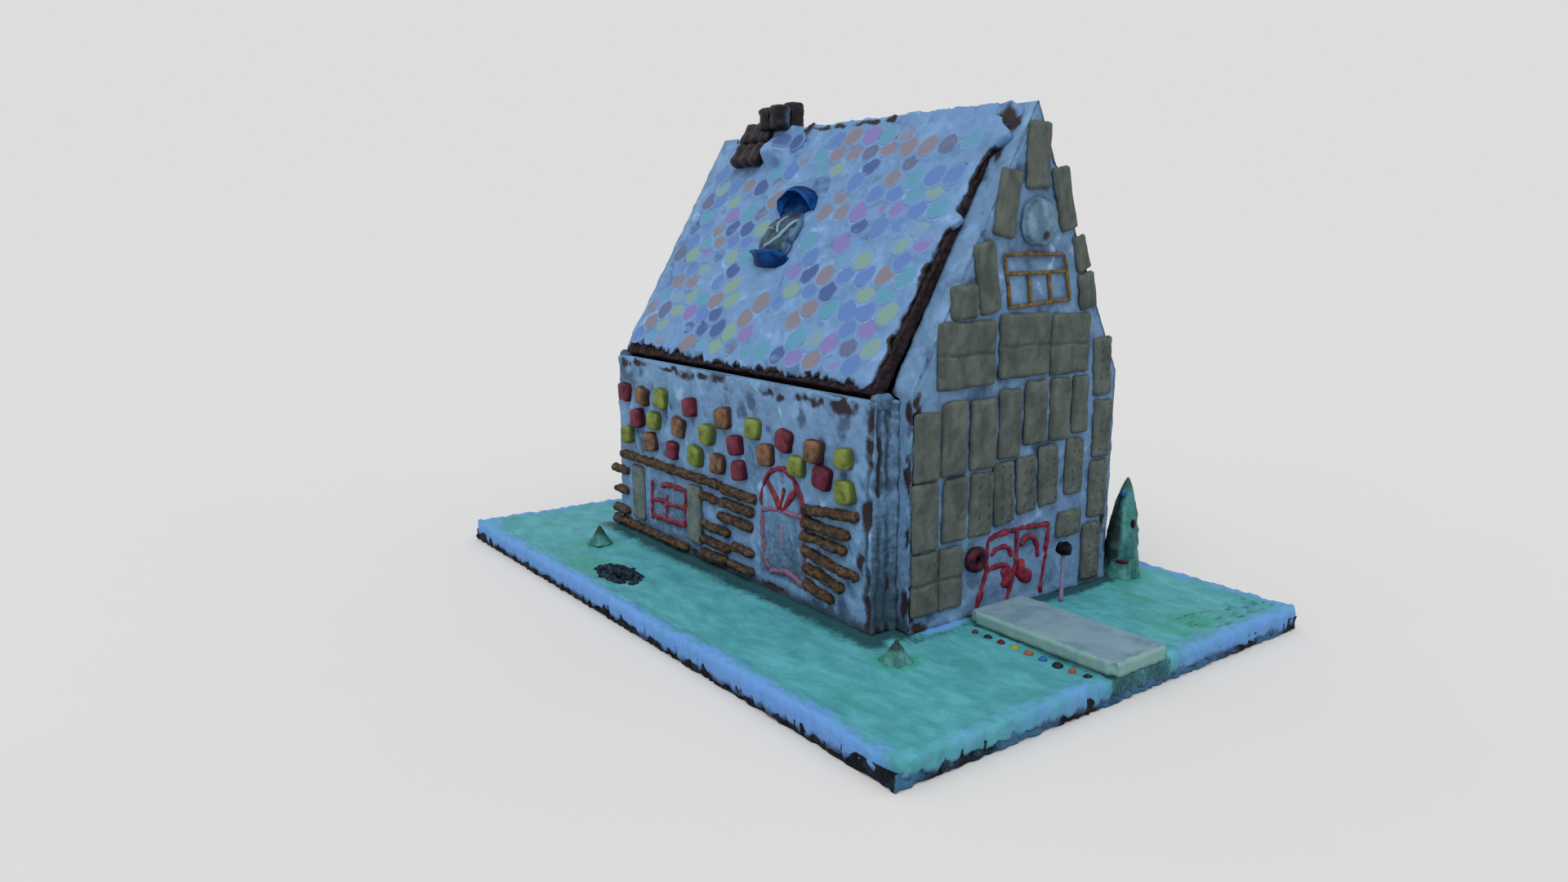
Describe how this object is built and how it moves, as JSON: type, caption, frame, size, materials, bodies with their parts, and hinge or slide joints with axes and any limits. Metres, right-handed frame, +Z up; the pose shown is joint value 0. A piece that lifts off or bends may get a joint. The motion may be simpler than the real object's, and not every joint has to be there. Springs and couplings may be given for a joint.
{
  "type": "gingerbread house",
  "caption": "Iced gingerbread house on its board, with a steep roof of round wafers, sweet-studded side walls, a cracker-clad door gable, a chimney, a path and a tree.",
  "frame": {"origin": "middle of the board's underside", "axes": "+Z up, the door gable faces -Y, +X to the right of someone facing the door"},
  "size_m": [0.511, 0.757, 0.51],
  "materials": {
    "board": "dark, dull cake board",
    "lawn_icing": "matt green and turquoise icing",
    "gingerbread": "dark baked gingerbread",
    "royal_icing": "bluish white icing, satin",
    "cracker": "dull toasted cracker",
    "chocolate": "dark chocolate, satin",
    "blue_wrapper": "deep blue shell",
    "clear_sweet": "cloudy clear sugar",
    "pretzel": "baked golden stick",
    "red_sweet": "dark red sweet",
    "black_sweet": "black liquorice",
    "shortbread": "pale baked biscuit",
    "green_icing": "green icing, satin"
  },
  "bodies": {
    "root": {"board": "board", "ground_icing": "lawn_icing", "wall_front": "gingerbread", "wall_back": "gingerbread", "wall_left": "gingerbread", "wall_right": "gingerbread", "roof_left": "gingerbread", "roof_right": "gingerbread", "icing_front": "royal_icing", "icing_back": "royal_icing", "icing_left": "royal_icing", "icing_right": "royal_icing", "roof_icing_left": "royal_icing", "roof_icing_right": "royal_icing", "round_sweet": "royal_icing", "cracker_left_1": "cracker", "cracker_left_2": "cracker", "cracker_left_3": "cracker", "cracker_second_1": "cracker", "cracker_second_2": "cracker", "cracker_second_3": "cracker", "cracker_upper_1": "cracker", "cracker_upper_2": "cracker", "cracker_upper_3": "cracker", "cracker_upper_4": "cracker", "cracker_upper_5": "cracker", "cracker_middle_1": "cracker", "cracker_middle_2": "cracker", "cracker_middle_3": "cracker", "cracker_middle_4": "cracker", "cracker_middle_5": "cracker", "cracker_right_1": "cracker", "cracker_right_2": "cracker", "cracker_right_3": "cracker", "cracker_right_4": "cracker", "cracker_right_5": "cracker", "cracker_bricks_1": "cracker", "cracker_bricks_2": "cracker", "cracker_bricks_3": "cracker", "cracker_peak_1": "cracker", "cracker_peak_2": "cracker", "cracker_peak_3": "cracker", "cracker_peak_4": "cracker", "cracker_peak_5": "cracker", "cracker_peak_6": "cracker", "cracker_peak_7": "cracker", "shutter_back": "cracker", "shutter_front": "cracker", "chimney": "chocolate", "skylight_boat": "blue_wrapper", "skylight_hood": "blue_wrapper", "skylight_pane": "clear_sweet", "window_lattice": "pretzel", "red_ring": "red_sweet", "lamp": "black_sweet", "coal": "black_sweet", "path": "shortbread", "tree": "green_icing", "shrub_back": "green_icing", "shrub_front": "green_icing"}
  },
  "joints": []
}
